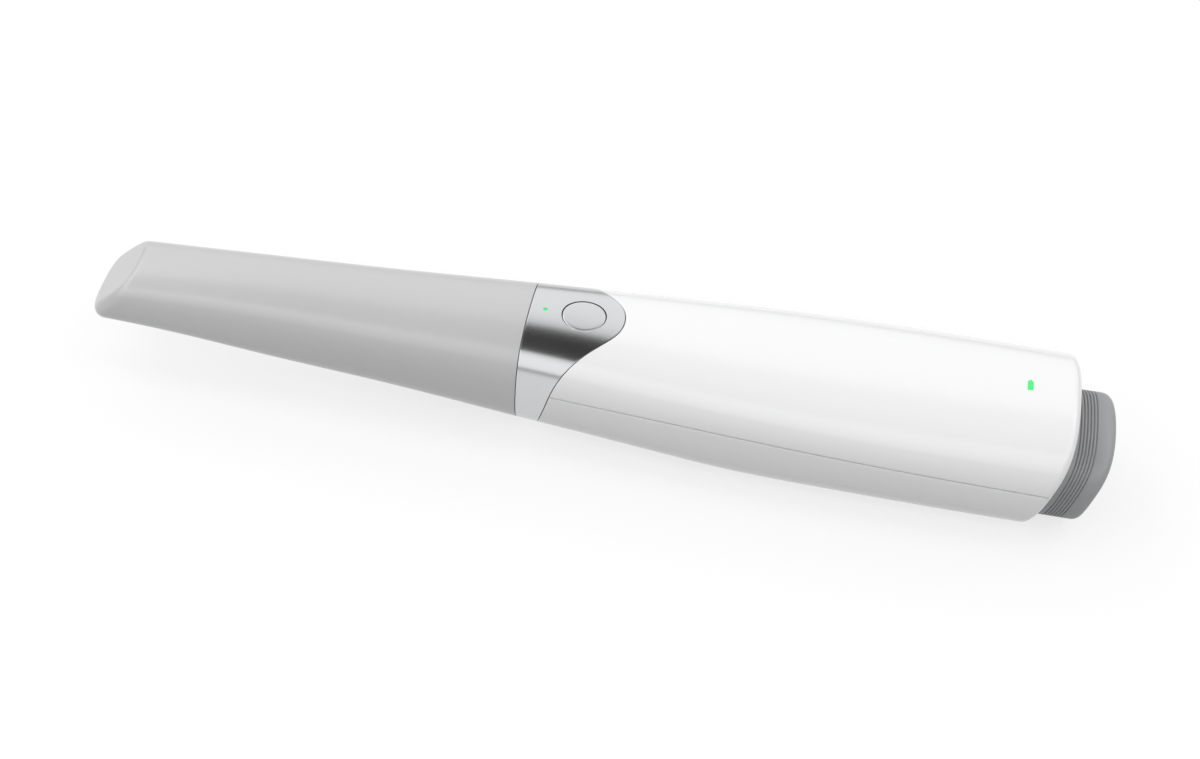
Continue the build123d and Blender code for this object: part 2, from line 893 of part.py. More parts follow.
def battery_pieces():
    """Battery pack: case, two cells, board with its clips, grip and seal."""
    joint = tail_plane(end_wall - case_socket)
    case = ahead(obround(case_front, body_length, case_radius()), joint)
    case -= obround(case_front + case_front_wall, body_length, cell_radius + case_clearance)
    clip_start = case_front + case_front_wall + clip_gap
    clips = []
    for y in blade_places():
        slot = bar(case_front - overrun, battery_board_start, y, blade_slot_gap)
        case -= slot
        clip = bar(clip_start, battery_board_start, y, blade_slot_gap + clip_wall)
        clips.append(clip - slot)
    parts["battery_case"] = case
    parts["battery_terminals"] = Compound(children=clips)
    board_end = battery_board_start + board_thickness
    inside = cell_radius + case_clearance - fit_gap
    parts["battery_board"] = obround(battery_board_start, board_end, inside)
    spread = cell_radius + cell_gap / 2
    for name, side in (("left", 1), ("right", -1)):
        parts["battery_cell_" + name] = barrel(
            cell_start, cell_start + cell_length, side * spread, -cell_depth, cell_radius
        )
    grip = grip_form(0, tail_plane(end_wall - fit_gap), grip_plane(0))
    end_face = grip.faces().sort_by(Axis.X)[-1]
    grip = fillet(end_face.edges(), grip_end_round)
    for i in range(groove_count):
        back = groove_setback + i * groove_pitch
        front_plane, back_plane = grip_plane(back + groove_width), grip_plane(back)
        floor = grip_form(-groove_depth, front_plane, back_plane)
        grip -= grip_form(overrun, front_plane, back_plane) - floor
    seal_back = (end_wall - battery_seal_width) / 2
    seal_planes = tail_plane(seal_back + battery_seal_width), tail_plane(seal_back)
    seal = grip_form(battery_seal_gap, *seal_planes) - grip_form(-battery_seal_depth, *seal_planes)
    parts["battery_seal"] = seal
    grip -= grip_form(overrun, *seal_planes) - grip_form(-battery_seal_depth, *seal_planes)
    socket_plane = tail_plane(end_wall - case_socket - fit_gap)
    grip -= ahead(obround(cell_start, body_length, case_radius() + fit_gap), socket_plane)
    parts["battery_grip"] = grip


def screw_pieces(plate_start, frame_end):
    """Groups of like screws, each with its head on its seat."""
    small = screw(small_thread - fit_gap, small_head, small_head_height, small_length)
    floor = -frame_floor_depth
    parts["frame_screws"] = Compound(
        children=[Pos(x, y, floor) * small for x, y in frame_screw_spots(plate_start, frame_end)]
    )
    under = -main_board_depth - main_board_thickness
    parts["board_screws"] = Compound(
        children=[Pos(x, y, under) * Rot(180, 0, 0) * small for x, y in board_screw_spots()]
    )
    plate_end = plate_start + frame_plate
    short = screw(small_thread - fit_gap, small_head, small_head_height, frame_plate + snout_flange)
    parts["snout_screws"] = Compound(
        children=[Pos(plate_end, y, z) * Rot(0, 90, 0) * short for y, z in snout_screw_spots()]
    )
    large = screw(housing_thread - fit_gap, housing_head, housing_head_height, housing_screw_length)
    seat = -housing_seat_depth
    parts["housing_screws"] = Compound(
        children=[Pos(x, y, seat) * Rot(180, 0, 0) * large for x, y in housing_screw_spots()]
    )


snout_pieces()
tip_pieces()
sink_start = optics_pieces()
plate_start, frame_end = cooling_pieces(sink_start)
button_x, status_x, switch_board_end = button_pieces()
collar_piece(button_x, status_x)
housing, below = housing_form(), parting_zone()
upper_shell_piece(housing, below)
lower_shell_piece(housing, below, plate_start, frame_end)
light_pieces()
main_board_pieces()
ribbon_pieces(sink_start, switch_board_end)
bay_pieces()
battery_pieces()
screw_pieces(plate_start, frame_end)

os.makedirs("parts", exist_ok=True)
for name, shape in parts.items():
    placed = Pos(-body_length / 2, 0, body_height) * shape
    export_step(placed, "parts/" + name + ".step")
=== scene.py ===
"""Looks of a wireless hand-held intraoral scanner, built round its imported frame.

The body is drawn in millimetres from the nose (x = 0) along the ridge of the handle (z = 0), with
depths below the ridge as negative z, and is set into the frame when a mesh is made. Lengths are in
millimetres and angles in degrees, but for the studio, whose lengths are in metres. Places round a
section run from the ridge (0) over the +Y side (0.25) and the keel (0.5) back to the ridge (1).
"""
import json
import logging
import math
from dataclasses import dataclass, field
from enum import Enum

import bmesh
import bpy
import numpy as np
from mathutils import Matrix, Vector


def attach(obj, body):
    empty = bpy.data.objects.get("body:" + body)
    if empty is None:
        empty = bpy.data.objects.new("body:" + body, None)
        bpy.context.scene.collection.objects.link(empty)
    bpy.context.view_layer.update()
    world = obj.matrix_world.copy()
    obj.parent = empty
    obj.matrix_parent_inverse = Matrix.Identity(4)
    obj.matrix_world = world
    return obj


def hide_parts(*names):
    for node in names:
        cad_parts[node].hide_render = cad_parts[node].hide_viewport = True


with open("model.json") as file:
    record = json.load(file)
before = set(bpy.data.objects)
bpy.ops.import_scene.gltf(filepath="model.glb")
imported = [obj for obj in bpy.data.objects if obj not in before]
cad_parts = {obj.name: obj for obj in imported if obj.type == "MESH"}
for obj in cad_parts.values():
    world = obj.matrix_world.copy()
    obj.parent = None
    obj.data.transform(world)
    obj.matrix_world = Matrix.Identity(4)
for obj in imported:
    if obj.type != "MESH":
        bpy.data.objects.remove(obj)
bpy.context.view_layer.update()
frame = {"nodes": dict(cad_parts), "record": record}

Array = np.ndarray
MM = 0.001
BODY_LENGTH = 281.4
BODY_WIDTH = 50.9
BODY_HEIGHT = 36.4
TIP_LENGTH = 121.3
HOLE_HEIGHTS = (-6.0, 4.0)
MERGE_DISTANCE = MM * 1e-4
BEVEL_ANGLE = math.radians(50)
BEVEL_SEGMENTS = 3
HALVINGS = 40
RIDGE, KEEL = 0.0, 0.5
CLOUD_SCALE = 12.0
CLOUD_RANGE = (0.3, 0.7)
GLOSS_WANDER = 4.0
RELIEF = 0.6
NOISE_DETAIL = 3.0
log = logging.getLogger("scanner")


class Body(Enum):
    """Rigid bodies of the frame."""

    HANDLE = "handle"
    TIP = "tip"
    BUTTON = "button"
    BATTERY = "battery_pack"


class Half(Enum):
    """Stretch of the section that a sheet covers: first and last place round it."""

    UPPER = (0.75, 1.25)
    LOWER = (0.25, 0.75)


@dataclass(frozen=True)
class Finish:
    """Procedural finish of moulded plastic, metal, rubber or glass.

    Attributes:
        name: name of the material.
        colour: base colour, linear.
        roughness: mean roughness.
        metallic: 1 for bare metal.
        coat: weight of the clear coat.
        coat_roughness: roughness of that coat.
        specular: strength of the reflection, 0.5 for common plastic.
        mottle: how far colour and roughness wander, as a share.
        grain: height of the fine surface grain, in millimetres.
        grain_size: size of a grain, in millimetres.
        brushing: stretch of the grain along X, Y and Z.
        glow: strength of its own light.
        clear: weight of transmission.
    """

    name: str
    colour: tuple[float, float, float]
    roughness: float
    metallic: float = 0.0
    coat: float = 0.0
    coat_roughness: float = 0.1
    specular: float = 0.5
    mottle: float = 0.03
    grain: float = 0.004
    grain_size: float = 0.35
    brushing: tuple[float, float, float] = (1.0, 1.0, 1.0)
    glow: float = 0.0
    clear: float = 0.0

    def build(self) -> bpy.types.Material:
        """Makes the material.

        Returns:
            The new material.
        """
        material = bpy.data.materials.new(self.name)
        material.use_nodes = True
        tree = material.node_tree
        shader = tree.nodes["Principled BSDF"]
        levels = {
            "Metallic": self.metallic,
            "Coat Weight": self.coat,
            "Coat Roughness": self.coat_roughness,
            "Specular IOR Level": self.specular,
            "Transmission Weight": self.clear,
            "Emission Strength": self.glow,
        }
        for socket, level in levels.items():
            shader.inputs[socket].default_value = level
        if self.glow:
            shader.inputs["Emission Color"].default_value = (*self.colour, 1.0)
        place = tree.nodes.new("ShaderNodeTexCoord")
        stretch = tree.nodes.new("ShaderNodeMapping")
        stretch.inputs["Scale"].default_value = self.brushing
        tree.links.new(place.outputs["Object"], stretch.inputs["Vector"])
        cloud, fine = (tree.nodes.new("ShaderNodeTexNoise") for _ in range(2))
        for noise, scale, source in (
            (cloud, CLOUD_SCALE, place.outputs["Object"]),
            (fine, 1.0 / (self.grain_size * MM), stretch.outputs["Vector"]),
        ):
            noise.inputs["Scale"].default_value = scale
            noise.inputs["Detail"].default_value = NOISE_DETAIL
            tree.links.new(source, noise.inputs["Vector"])
        ramp = tree.nodes.new("ShaderNodeValToRGB")
        for stop, level, side in zip(ramp.color_ramp.elements, CLOUD_RANGE, (-1, 1)):
            share = 1.0 + side * self.mottle
            stop.position = level
            stop.color = (*(min(c * share, 1.0) for c in self.colour), 1.0)
        tree.links.new(cloud.outputs["Fac"], ramp.inputs["Fac"])
        tree.links.new(ramp.outputs["Color"], shader.inputs["Base Color"])
        gloss = tree.nodes.new("ShaderNodeMapRange")
        wander = GLOSS_WANDER * self.mottle
        gloss.inputs["To Min"].default_value = self.roughness * (1.0 - wander)
        gloss.inputs["To Max"].default_value = self.roughness * (1.0 + wander)
        tree.links.new(fine.outputs["Fac"], gloss.inputs["Value"])
        tree.links.new(gloss.outputs["Result"], shader.inputs["Roughness"])
        bump = tree.nodes.new("ShaderNodeBump")
        bump.inputs["Distance"].default_value = self.grain * MM
        bump.inputs["Strength"].default_value = RELIEF
        tree.links.new(fine.outputs["Fac"], bump.inputs["Height"])
        tree.links.new(bump.outputs["Normal"], shader.inputs["Normal"])
        return material


FINISHES: dict[str, Finish] = {
    "tip": Finish(
        "satin_grey_tip", (0.48, 0.48, 0.485), 0.36, coat=0.9, coat_roughness=0.3,
        specular=0.7, mottle=0.01, grain=0.003,
    ),
    "mirror": Finish(
        "silvered_glass", (0.9, 0.92, 0.93), 0.04, metallic=1.0, mottle=0.01, grain=0.0005
    ),
    "collar": Finish(
        "polished_collar", (0.6, 0.605, 0.612), 0.23, metallic=1.0, mottle=0.02,
        grain=0.0012, grain_size=0.2, brushing=(1.0, 0.12, 0.12),
    ),
    "button": Finish(
        "brushed_button", (0.61, 0.615, 0.622), 0.3, metallic=1.0, mottle=0.02, grain=0.002,
        grain_size=0.16, brushing=(1.0, 0.1, 1.0),
    ),
    "housing": Finish(
        "white_housing", (0.81, 0.81, 0.815), 0.26, coat=0.7, coat_roughness=0.16,
        mottle=0.004, grain=0.001,
    ),
    # Slightly darker copy of the housing white for the lower shell: painted shade on the underside.
    "housing_lower": Finish(
        "white_underside_painted_shade", (0.78, 0.78, 0.786), 0.28, coat=0.7, coat_roughness=0.18,
        mottle=0.004, grain=0.001,
    ),
    "grip": Finish("grey_grip", (0.3, 0.303, 0.31), 0.4, grain=0.006, grain_size=0.25),
    "snout": Finish("black_snout", (0.018, 0.018, 0.02), 0.55, mottle=0.04, grain=0.01),
    "optic_glass": Finish(
        "coated_glass", (0.85, 0.9, 0.98), 0.03, clear=0.9, mottle=0.01, grain=0.0
    ),
    "seal": Finish("black_seal", (0.02, 0.02, 0.02), 0.6, mottle=0.05, grain=0.012),
    "optic_metal": Finish("black_anodised", (0.03, 0.03, 0.034), 0.35, metallic=0.7, mottle=0.04),
    "carrier": Finish(
        "machined_carrier", (0.52, 0.53, 0.55), 0.32, metallic=1.0, brushing=(1, 8, 8)
    ),
    "heat_sink": Finish(
        "clear_anodised", (0.56, 0.57, 0.6), 0.36, metallic=1.0, brushing=(0.2, 4, 4)
    ),
    "board": Finish("green_board", (0.012, 0.12, 0.045), 0.35, coat=0.3, mottle=0.05),
    "shield": Finish("tinned_shield", (0.6, 0.6, 0.61), 0.3, metallic=1.0, brushing=(0.3, 3, 3)),
    "ribbon": Finish("amber_film", (0.42, 0.19, 0.03), 0.3, coat=0.2, mottle=0.05),
    "switch": Finish("black_moulding", (0.02, 0.02, 0.021), 0.45, mottle=0.04),
    "light": Finish(
        "green_light", (0.02, 0.6, 0.13), 0.25, coat=0.4, mottle=0.02, grain=0.001, glow=0.4
    ),
    "lamp": Finish("clear_lamp", (0.8, 0.8, 0.68), 0.2, coat=0.5, mottle=0.02),
    "frame": Finish("filled_frame", (0.09, 0.09, 0.1), 0.5, mottle=0.05, grain=0.012),
    "bay": Finish("filled_bay", (0.07, 0.07, 0.078), 0.5, mottle=0.05, grain=0.012),
    "case": Finish("battery_case", (0.14, 0.143, 0.15), 0.4, mottle=0.04, grain=0.008),
    "cell": Finish("cell_wrap", (0.06, 0.14, 0.4), 0.28, coat=0.3, mottle=0.03),
    "contact": Finish("gold_contact", (0.85, 0.6, 0.2), 0.22, metallic=1.0, brushing=(0.2, 2, 2)),
    "screw": Finish("zinc_screw", (0.42, 0.43, 0.45), 0.34, metallic=1.0, brushing=(2, 2, 0.4)),
}


def quarters(v: Array) -> tuple[Array, Array, Array]:
    """Finds the quarter curves that places round a section lie on.

    Args:
        v: places round the section.

    Returns:
        Side (1 or -1), whether the quarter is an upper one, and the place on it from its apex.
    """
    turn = np.mod(v, 1.0)
    side = np.where(turn < 0.5, 1.0, -1.0)
    from_ridge = np.where(turn < 0.5, turn, 1.0 - turn) * 4.0
    upper = from_ridge <= 1.0
    return side, upper, np.where(upper, from_ridge, 2.0 - from_ridge)


def arc_rows(
    centre: Array, start: Array, end: Array, radius: float | Array, steps: int
) -> list[Array]:
    """Rows of points on arcs.

    Args:
        centre: middles of the arcs.
        start: directions of their first points.
        end: direction of their last points.
        radius: their radius.
        steps: steps along them.

    Returns:
        Rows from the first points to the last.
    """
    end = np.broadcast_to(end, start.shape)
    angle = np.arccos(np.clip((start * end).sum(-1), -1.0, 1.0))[:, None]
    rows = []
    for t in np.linspace(0.0, 1.0, steps + 1):
        blend = (np.sin((1 - t) * angle) * start + np.sin(t * angle) * end) / np.sin(angle)
        rows.append(centre + radius * blend)
    return rows


@dataclass
class BodyForm:
    """Outer form of tip and handle: sections of four quarter curves along the body.

    Attributes:
        tip_shares: place along the tip, half width, and depths of ridge, middle and keel.
        handle_shares: the same along the handle.
        nose_corners: how square the quarters are at the nose.
        handle_corners: how square they are at the handle.
        nose_fade: length over which the lower quarters lose the squareness of the nose.
        knots, values, bends: places, values and second derivatives of the spline.
    """

    tip_shares: tuple[tuple[float, ...], ...] = (
        (-0.07, 0.488, 0.157, 0.357, 0.545),
        (0.165, 0.515, 0.108, 0.389, 0.595),
        (0.41, 0.554, 0.069, 0.397, 0.695),
        (0.70, 0.624, 0.042, 0.376, 0.783),
    )
    handle_shares: tuple[tuple[float, ...], ...] = (
        (0.0, 0.722, 0.0, 0.390, 0.879),
        (0.18, 0.823, 0.0, 0.383, 0.942),
        (0.366, 0.918, 0.0, 0.382, 1.008),
        (0.554, 0.980, 0.0, 0.395, 1.010),
        (0.741, 1.000, 0.0, 0.416, 1.012),
        (0.928, 0.988, 0.0, 0.444, 1.015),
        (1.053, 0.977, 0.0, 0.462, 1.017),
    )
    nose_corners: tuple[float, float, float, float] = (0.782, 0.753, 0.8, 0.8)
    handle_corners: tuple[float, float, float, float] = (0.746, 0.708, 0.688, 0.731)
    nose_fade: float = 36.0
    knots: Array = field(init=False)
    values: Array = field(init=False)
    bends: Array = field(init=False)

    def __post_init__(self) -> None:
        """Works out a natural spline through the stations."""
        tip = [(s[0] * TIP_LENGTH, *s[1:]) for s in self.tip_shares]
        rest = BODY_LENGTH - TIP_LENGTH
        handle = [(TIP_LENGTH + s[0] * rest, *s[1:]) for s in self.handle_shares]
        table = np.array(tip + handle)
        self.knots = table[:, 0]
        self.values = table[:, 1:] * [BODY_WIDTH / 2, -BODY_HEIGHT, -BODY_HEIGHT, -BODY_HEIGHT]
        count = len(self.knots)
        gaps = np.diff(self.knots)
        matrix = np.eye(count)
        right = np.zeros_like(self.values)
        slopes = np.diff(self.values, axis=0) / gaps[:, None]
        for i in range(1, count - 1):
            matrix[i, i - 1 : i + 2] = gaps[i - 1], 2 * (gaps[i - 1] + gaps[i]), gaps[i]
            right[i] = 6 * (slopes[i] - slopes[i - 1])
        self.bends = np.linalg.solve(matrix, right)

    def stations(self, x: Array) -> Array:
        """Half width, ridge, middle and keel at places along the body.

        Args:
            x: places along the body.

        Returns:
            One row of four values for each place.
        """
        i = np.clip(np.searchsorted(self.knots, x) - 1, 0, len(self.knots) - 2)
        gap = self.knots[i + 1] - self.knots[i]
        b = ((x - self.knots[i]) / gap)[..., None]
        a = 1.0 - b
        lift = (gap**2 / 6)[..., None]
        straight = a * self.values[i] + b * self.values[i + 1]
        return straight + lift * ((a**3 - a) * self.bends[i] + (b**3 - b) * self.bends[i + 1])

    def point(self, x: Array, v: Array) -> Array:
        """Points on the form.

        Args:
            x: places along the body.
            v: places round the section.

        Returns:
            Points, one for each place.
        """
        x, v = np.broadcast_arrays(np.asarray(x, float), np.asarray(v, float))
        wide, ridge, middle, keel = np.moveaxis(self.stations(x), -1, 0)
        side, upper, t = quarters(v)
        mix = np.clip(x / TIP_LENGTH, 0.0, 1.0)
        fade = 1.0 - (1.0 - np.clip(x / self.nose_fade, 0.0, 1.0)) ** 2
        pairs = zip(self.nose_corners, self.handle_corners, (mix, mix, fade, fade))
        corner = [a + (b - a) * share for a, b, share in pairs]
        flat = np.where(upper, corner[0], corner[3])
        tall = np.where(upper, corner[1], corner[2])
        apex = np.where(upper, ridge, keel)
        s = 1.0 - t
        first, second, third = 3 * s * s * t, 3 * s * t * t, t**3
        y = wide * (first * flat + second + third)
        z = apex * (s**3 + first) + second * (middle + (apex - middle) * tall) + third * middle
        return np.stack([x, side * y, np.maximum(z, -BODY_HEIGHT)], axis=-1)

    def normal(self, x: Array, v: Array) -> Array:
        """Outward directions of the form.

        Args:
            x: places along the body.
            v: places round the section.

        Returns:
            Unit vectors, one for each place.
        """
        step, turn = 0.05, 0.0005
        along = self.point(x + step, v) - self.point(x - step, v)
        across = self.point(x, v + turn) - self.point(x, v - turn)
        out = np.cross(along, across)
        return out / np.linalg.norm(out, axis=-1, keepdims=True)

    def offset(self, x: Array, v: Array, depth: Array | float) -> Array:
        """Points set in from the form by a depth."""
        deep = np.asarray(depth, float)[..., None]
        return self.point(x, v) - deep * self.normal(x, v)

    def contact(self, v: Array, plane: "Cut", radius: Array) -> Array:
        """Places along the body where a ball in the corner between form and plane touches the form.

        Args:
            v: places round the section.
            plane: plane that cuts the body.
            radius: radius of the ball for each place.

        Returns:
            One place along the body for each place round it.
        """
        inside = np.full_like(v, plane.inner)
        outside = np.full_like(v, plane.outer)
        for _ in range(HALVINGS):
            middle = (inside + outside) / 2
            centre = self.offset(middle, v, radius)
            beyond = plane.distance(centre) > -radius
            outside = np.where(beyond, middle, outside)
            inside = np.where(beyond, inside, middle)
        return inside

    def roll(self, v: Array, plane: "Cut", radius: Array, steps: int) -> list[Array]:
        """Rounded edge between form and plane.

        Args:
            v: places round the section.
            plane: plane that cuts the body.
            radius: radius of the edge for each place.
            steps: rows across the edge.

        Returns:
            Rows of points from the form to the plane, without the first.
        """
        x = self.contact(v, plane, radius)
        centre = self.offset(x, v, radius)
        return arc_rows(centre, self.normal(x, v), plane.out, radius[:, None], steps)[1:]

    def height(self, x: Array, y: Array, start: float) -> Array:
        """Heights of the form over places in plan.

        Args:
            x: places along the body.
            y: places across it.
            start: RIDGE for the upper side, KEEL for the underside.

        Returns:
            One height for each place.
        """
        low, high = np.full_like(x, start), np.full_like(x, 0.25)
        for _ in range(HALVINGS):
            middle = (low + high) / 2
            over = self.point(x, middle)[..., 1] > np.abs(y)
            high = np.where(over, middle, high)
            low = np.where(over, low, middle)
        return self.point(x, low)[..., 2]


@dataclass(frozen=True)
class Cut:
    """Plane across the body that leans back by a slope.

    Attributes:
        x: where it meets the height z.
        z: that height.
        slope: lean from upright, in degrees; its top is nearer the tail.
        facing: 1 where it faces the tail, -1 where it faces the nose.
        inner: place along the body surely inside.
        outer: place along the body surely outside.
    """

    x: float
    z: float
    slope: float
    facing: float = 1.0
    inner: float = 0.0
    outer: float = BODY_LENGTH

    @property
    def out(self) -> Array:
        """Direction that the plane faces."""
        lean = math.radians(self.slope)
        return self.facing * np.array([math.cos(lean), 0.0, -math.sin(lean)])

    def distance(self, points: Array) -> Array:
        """How far points lie beyond the plane."""
        return (points - np.array([self.x, 0.0, self.z])) @ self.out

    def place(self, z: Array) -> Array:
        """Places along the body where the plane has given heights."""
        return self.x + (z - self.z) * math.tan(math.radians(self.slope))


FORM = BodyForm()


def into_row(points: Array) -> Array:
    """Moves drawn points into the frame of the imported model, in metres."""
    return (points + np.array([-BODY_LENGTH / 2, 0.0, BODY_HEIGHT])) * MM


def sheet_object(
    name: str,
    rows: Array,
    closed: bool = False,
    wrapped: bool = False,
    poles: tuple[int, ...] = (),
) -> bpy.types.Object:
    """Makes a smooth sheet from rows of points.

    Args:
        name: name of the piece.
        rows: points, row by row.
        closed: whether the last place of a row meets its first.
        wrapped: whether the last row meets the first.
        poles: rows that shrink to one point.

    Returns:
        The new object.
    """
    count, across = rows.shape[:2]
    placed = into_row(rows)
    mesh_data = bmesh.new()
    bmesh.ops.create_grid(mesh_data, x_segments=across - 1, y_segments=count - 1, size=1.0)
    joined = []
    for vert in mesh_data.verts:
        i = round((vert.co.y + 1) / 2 * (count - 1))
        j = round((vert.co.x + 1) / 2 * (across - 1))
        vert.co = placed[i, j]
        on_seam = closed and j in (0, across - 1) or wrapped and i in (0, count - 1)
        if on_seam or i in poles or i - count in poles:
            joined.append(vert)
    bmesh.ops.remove_doubles(mesh_data, verts=joined, dist=MERGE_DISTANCE)
    bmesh.ops.recalc_face_normals(mesh_data, faces=mesh_data.faces)
    for face in mesh_data.faces:
        face.smooth = True
    return as_object(name, mesh_data)


def as_object(name: str, mesh_data: bmesh.types.BMesh) -> bpy.types.Object:
    """Turns mesh data into an object of the scene.

    Args:
        name: name of the object.
        mesh_data: its mesh, which is freed.

    Returns:
        The new object.
    """
    mesh = bpy.data.meshes.new(name)
    mesh_data.to_mesh(mesh)
    mesh_data.free()
    piece = bpy.data.objects.new(name, mesh)
    bpy.context.scene.collection.objects.link(piece)
    return piece


def thicken(piece: bpy.types.Object, wall: float) -> None:
    """Gives a sheet its wall, inwards.

    Args:
        piece: sheet whose faces point outwards.
        wall: wall thickness in millimetres.
    """
    modifier = piece.modifiers.new("wall", "SOLIDIFY")
    modifier.thickness = wall * MM
    modifier.offset = -1.0
    modifier.use_rim = True


def soften(piece: bpy.types.Object, width: float) -> None:
    """Rounds the sharp edges of a piece.

    Args:
        piece: piece with sharp edges.
        width: width of the rounding in millimetres.
    """
    modifier = piece.modifiers.new("edges", "BEVEL")
    modifier.width = width * MM
    modifier.segments = BEVEL_SEGMENTS
    modifier.limit_method = "ANGLE"
    modifier.angle_limit = BEVEL_ANGLE
    modifier.use_clamp_overlap = True


def carve(piece: bpy.types.Object, cutters: list[bpy.types.Object]) -> None:
    """Cuts holes through a piece and makes its modifiers part of its mesh.

    Args:
        piece: piece that is cut.
        cutters: closed bodies that are taken away, and are deleted afterwards.
    """
    for cutter in cutters:
        modifier = piece.modifiers.new("cut", "BOOLEAN")
        modifier.operation = "DIFFERENCE"
        modifier.solver = "EXACT"
        modifier.object = cutter
    graph = bpy.context.evaluated_depsgraph_get()
    mesh = bpy.data.meshes.new_from_object(piece.evaluated_get(graph))
    piece.modifiers.clear()
    piece.data = mesh
    for cutter in cutters:
        bpy.data.objects.remove(cutter)


def prism(name: str, outline: Array, low: float, high: float) -> bpy.types.Object:
    """Upright closed body over an outline.

    Args:
        name: name of the object.
        outline: points in plan, in order.
        low: height of its foot.
        high: height of its top.

    Returns:
        The new object.
    """
    mesh_data = bmesh.new()
    bmesh.ops.create_circle(mesh_data, cap_ends=True, segments=len(outline), radius=1.0)
    mesh_data.verts.ensure_lookup_table()
    ring = sorted(mesh_data.verts, key=lambda vert: math.atan2(vert.co.y, vert.co.x) % math.tau)
    foot = into_row(np.column_stack([outline, np.full(len(outline), low)]))
    for vert, place in zip(ring, foot):
        vert.co = place
    grown = bmesh.ops.extrude_face_region(mesh_data, geom=list(mesh_data.faces))
    moved = [item for item in grown["geom"] if isinstance(item, bmesh.types.BMVert)]
    bmesh.ops.translate(mesh_data, verts=moved, vec=(0.0, 0.0, (high - low) * MM))
    bmesh.ops.recalc_face_normals(mesh_data, faces=mesh_data.faces)
    return as_object(name, mesh_data)


def round_outline(length: float, width: float, corner: float, segments: int = 8) -> Array:
    """Outline of a rounded rectangle about its middle.

    Args:
        length: size along X.
        width: size along Y.
        corner: radius of its corners.
        segments: pieces in each corner.

    Returns:
        Points in plan, turning from +X towards +Y.
    """
    points = []
    for quarter, (sx, sy) in enumerate(((1, 1), (-1, 1), (-1, -1), (1, -1))):
        centre = (sx * (length / 2 - corner), sy * (width / 2 - corner))
        for step in range(segments + 1):
            angle = (quarter + step / segments) * math.pi / 2
            x, y = corner * math.cos(angle), corner * math.sin(angle)
            points.append((centre[0] + x, centre[1] + y))
    return np.array(points)


def round_dot(x: float, y: float, radius: float, segments: int) -> Array:
    """Round outline in plan.

    Args:
        x: place of its middle along the body.
        y: place of its middle across the body.
        radius: its radius.
        segments: pieces round it.

    Returns:
        Points in plan, turning from +X towards +Y.
    """
    angle = np.arange(segments) * math.tau / segments
    return np.column_stack([x + radius * np.cos(angle), y + radius * np.sin(angle)])


def dress(piece: bpy.types.Object, slot: str, body: Body, *replaced: str) -> None:
    """Finishes a new piece and hangs it on its body.

    Args:
        piece: the new piece.
        slot: material slot of the record.
        body: body that it moves with.
        replaced: frame nodes that it stands for.
    """
    piece.data.materials.clear()
    piece.data.materials.append(material_of(slot))
    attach(piece, body.value)
    if replaced:
        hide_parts(*replaced)
    log.info("piece %s on %s, finish %s", piece.name, body.value, slot)


def material_of(slot: str) -> bpy.types.Material:
    """Material of a slot, made once."""
    finish = FINISHES[slot]
    known = bpy.data.materials.get(finish.name)
    return known or finish.build()


@dataclass(frozen=True)
class Seams:
    """Seam between collar and housing: a tongue above the parting line, a slant below it.

    Attributes:
        side: place of the seam at the parting line, from the tip's end.
        tongue: place of the tongue's end, from the tip's end.
        lean: angle that the tongue's outline is drawn at, in degrees.
        slope: slant of the seam below the parting line, in degrees.
        width_share: half width at the collar's side, of half the body width.
        depth_share: depth of the parting line there, of the body height.
        tip_share: how blunt the tongue is.
        side_share: how long the flare towards the sides is.
        flare_share: slope of the flare.
        samples: places that the tongue's curve is read at.
        rounds: times that the seam is carried back to the body.
    """

    side: float = 9.3
    tongue: float = 26.2
    lean: float = 40.0
    slope: float = 14.3
    width_share: float = 0.755
    depth_share: float = 0.390
    tip_share: float = 0.296
    side_share: float = 0.69
    flare_share: float = 0.37
    samples: int = 201
    rounds: int = 25

    def place(self, v: Array, shift: float) -> Array:
        """Places of the seam along the body.

        Args:
            v: places round the section.
            shift: how far the seam is moved towards the tail.

        Returns:
            One place along the body for each place round it.
        """
        lean = math.radians(self.lean)
        reach = math.sin(lean) * self.width_share * BODY_WIDTH / 2
        reach += math.cos(lean) * self.depth_share * BODY_HEIGHT
        end, side = TIP_LENGTH + self.tongue + shift, TIP_LENGTH + self.side + shift
        hold = self.side_share * reach
        t = np.linspace(0.0, 1.0, self.samples)
        s = 1.0 - t
        outs = 3 * s * s * t * self.tip_share * reach
        outs += 3 * s * t * t * (reach - hold) + t**3 * reach
        alongs = (s**3 + 3 * s * s * t) * end
        alongs += 3 * s * t * t * (side + self.flare_share * hold) + t**3 * side
        under = Cut(side, -self.depth_share * BODY_HEIGHT, self.slope)
        turn = np.mod(v, 1.0)
        lower = (turn > 0.25) & (turn < 0.75)
        x = np.full_like(v, side)
        for _ in range(self.rounds):
            here = FORM.point(x, v)
            out = math.sin(lean) * np.abs(here[:, 1]) - math.cos(lean) * here[:, 2]
            x = np.where(lower, under.place(here[:, 2]), np.interp(out, outs, alongs))
        return x


SEAMS = Seams()


